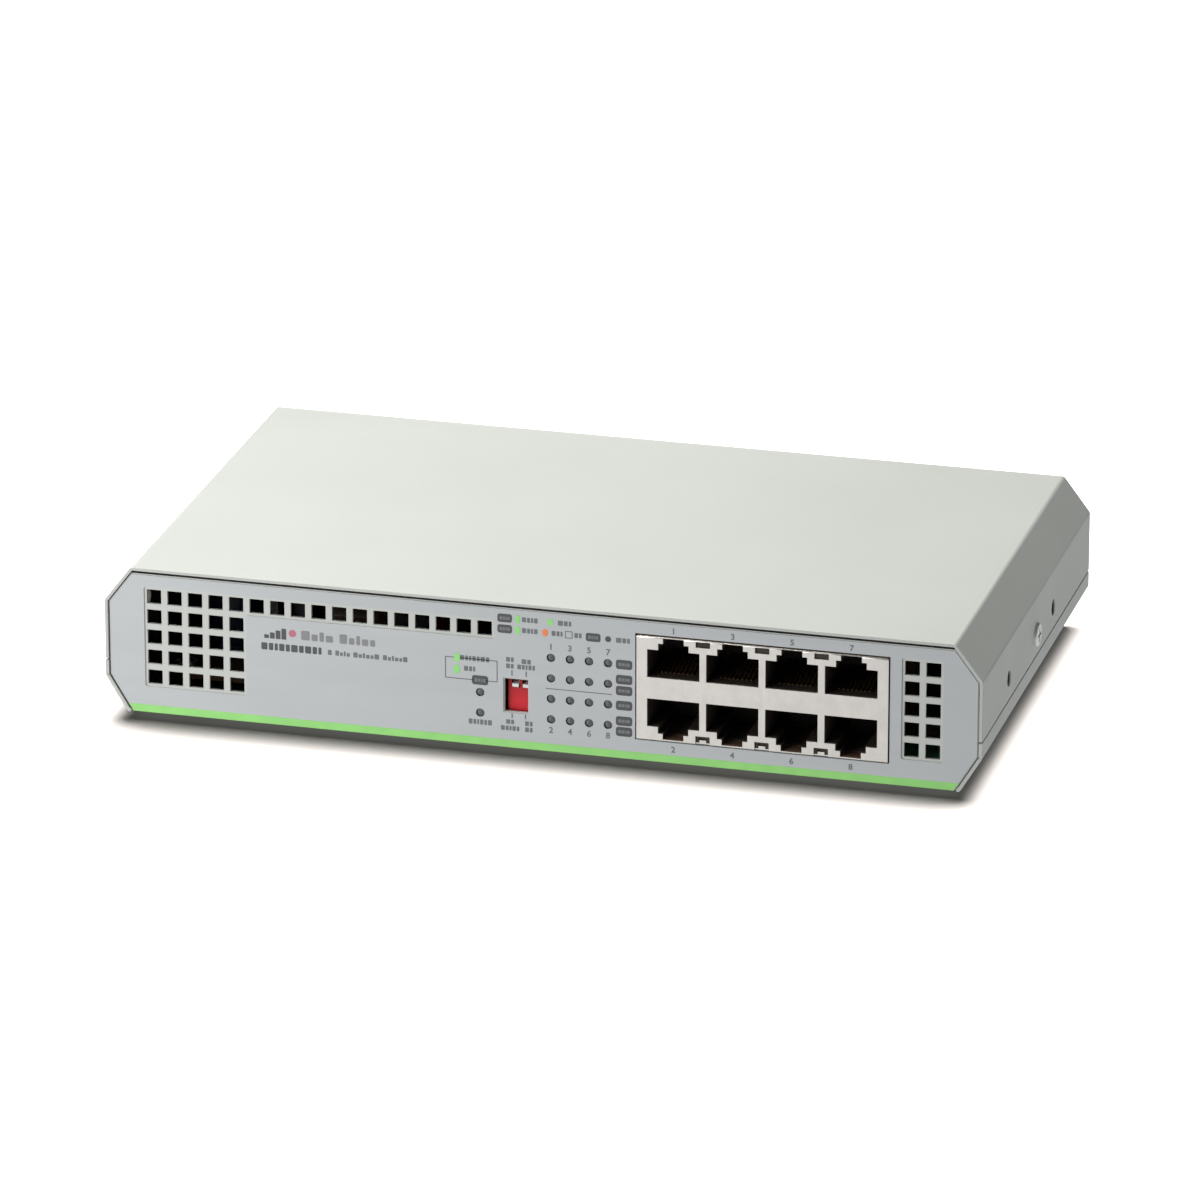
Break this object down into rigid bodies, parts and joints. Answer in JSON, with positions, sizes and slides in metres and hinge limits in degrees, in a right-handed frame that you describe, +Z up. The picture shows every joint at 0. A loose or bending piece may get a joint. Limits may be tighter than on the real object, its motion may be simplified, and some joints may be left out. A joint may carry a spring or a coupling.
{
  "type": "desktop network switch",
  "caption": "Flat steel case with two rows of network sockets, status lamps, a small setting switch and a mains inlet.",
  "frame": {"origin": "on the resting surface, under the middle of the object's box", "axes": "+X to the right seen from the front, +Y from the front to the rear, +Z up"},
  "size_m": [0.2116, 0.119, 0.038],
  "materials": {
    "case_paint": "fine satin powder coat, light warm grey",
    "overlay_film": "printed polycarbonate film, mid grey, satin",
    "screw_steel": "zinc plated",
    "foot_rubber": "matte black",
    "lamp_lens": "diffused grey lens, unlit",
    "black_plastic": "moulded black",
    "shield_tin": "tin plated sheet",
    "contact_gold": "gold plated springs",
    "tinned_lead": "tinned",
    "switch_red": "moulded red",
    "switch_white": "moulded white",
    "board_green": "green solder mask",
    "board_brown": "dark phenolic board",
    "insulator_sheet": "dark fibre sheet",
    "standoff_brass": "plain",
    "chip_plastic": "moulded epoxy",
    "pad_grey": "soft pad",
    "heatsink_metal": "extruded, anodised dark",
    "part_mixed": "small ceramic and resin parts",
    "can_metal": "drawn can",
    "ferrite": "sintered ferrite",
    "copper_wire": "enamelled copper",
    "header_white": "moulded nylon",
    "box_grey": "moulded grey case",
    "tape_amber": "dark amber polyester tape",
    "sleeve_dark": "shrunk sleeve",
    "disc_blue": "dipped ceramic",
    "blade_metal": "nickel plated brass",
    "wire_pvc": "PVC insulation",
    "earth_pvc": "green and yellow PVC",
    "cable_pvc": "PVC insulation"
  },
  "bodies": {
    "case": {"base_chassis": "case_paint", "top_cover": "case_paint", "front_overlay": "overlay_film", "cover_screws": "screw_steel", "rubber_feet": "foot_rubber", "led_lamps": "lamp_lens", "led_holder_1": "black_plastic", "led_holder_2": "black_plastic", "led_holder_3": "black_plastic", "led_holder_4": "black_plastic", "status_led_holder": "black_plastic", "led_leads": "tinned_lead", "dip_body": "switch_red", "dip_terminals": "tinned_lead", "jack_shield": "shield_tin", "jack_housing": "black_plastic", "jack_contacts": "contact_gold", "jack_magnetics": "black_plastic", "jack_pins": "tinned_lead", "main_board": "board_green", "power_board": "board_brown", "power_insulator": "insulator_sheet", "board_standoffs": "standoff_brass", "board_screws": "screw_steel", "switch_chip": "chip_plastic", "thermal_pad": "pad_grey", "chip_heatsink": "heatsink_metal", "heatsink_pins": "header_white", "crystal": "can_metal", "flash_chip": "chip_plastic", "voltage_regulator": "chip_plastic", "power_inductors": "ferrite", "smd_electrolytics": "can_metal", "smd_parts": "part_mixed", "dc_headers": "header_white", "ac_header": "header_white", "fuse": "black_plastic", "x_capacitor": "box_grey", "choke_core": "ferrite", "choke_windings": "copper_wire", "bridge_rectifier": "chip_plastic", "bulk_capacitor": "sleeve_dark", "transformer_core": "ferrite", "transformer_winding": "tape_amber", "primary_heatsink": "heatsink_metal", "power_transistor": "chip_plastic", "output_diode": "chip_plastic", "output_capacitors": "sleeve_dark", "y_capacitor": "disc_blue", "optocoupler": "chip_plastic", "inlet_body": "black_plastic", "inlet_blades": "blade_metal", "ac_wires": "wire_pvc", "earth_wire": "earth_pvc", "earth_screw": "screw_steel", "dc_cable": "cable_pvc"},
    "dip_key_1": {"dip_key_1": "switch_white"},
    "dip_key_2": {"dip_key_2": "switch_white"}
  },
  "joints": [
    {"name": "dip_key_1_tilt", "type": "hinge", "parent": "case", "child": "dip_key_1", "pos_m": [-0.00592, -0.053, 0.0171], "axis": [-1, 0, 0], "range_deg": [0, 14]},
    {"name": "dip_key_2_tilt", "type": "hinge", "parent": "case", "child": "dip_key_2", "pos_m": [-0.00338, -0.053, 0.0171], "axis": [-1, 0, 0], "range_deg": [0, 14]}
  ]
}
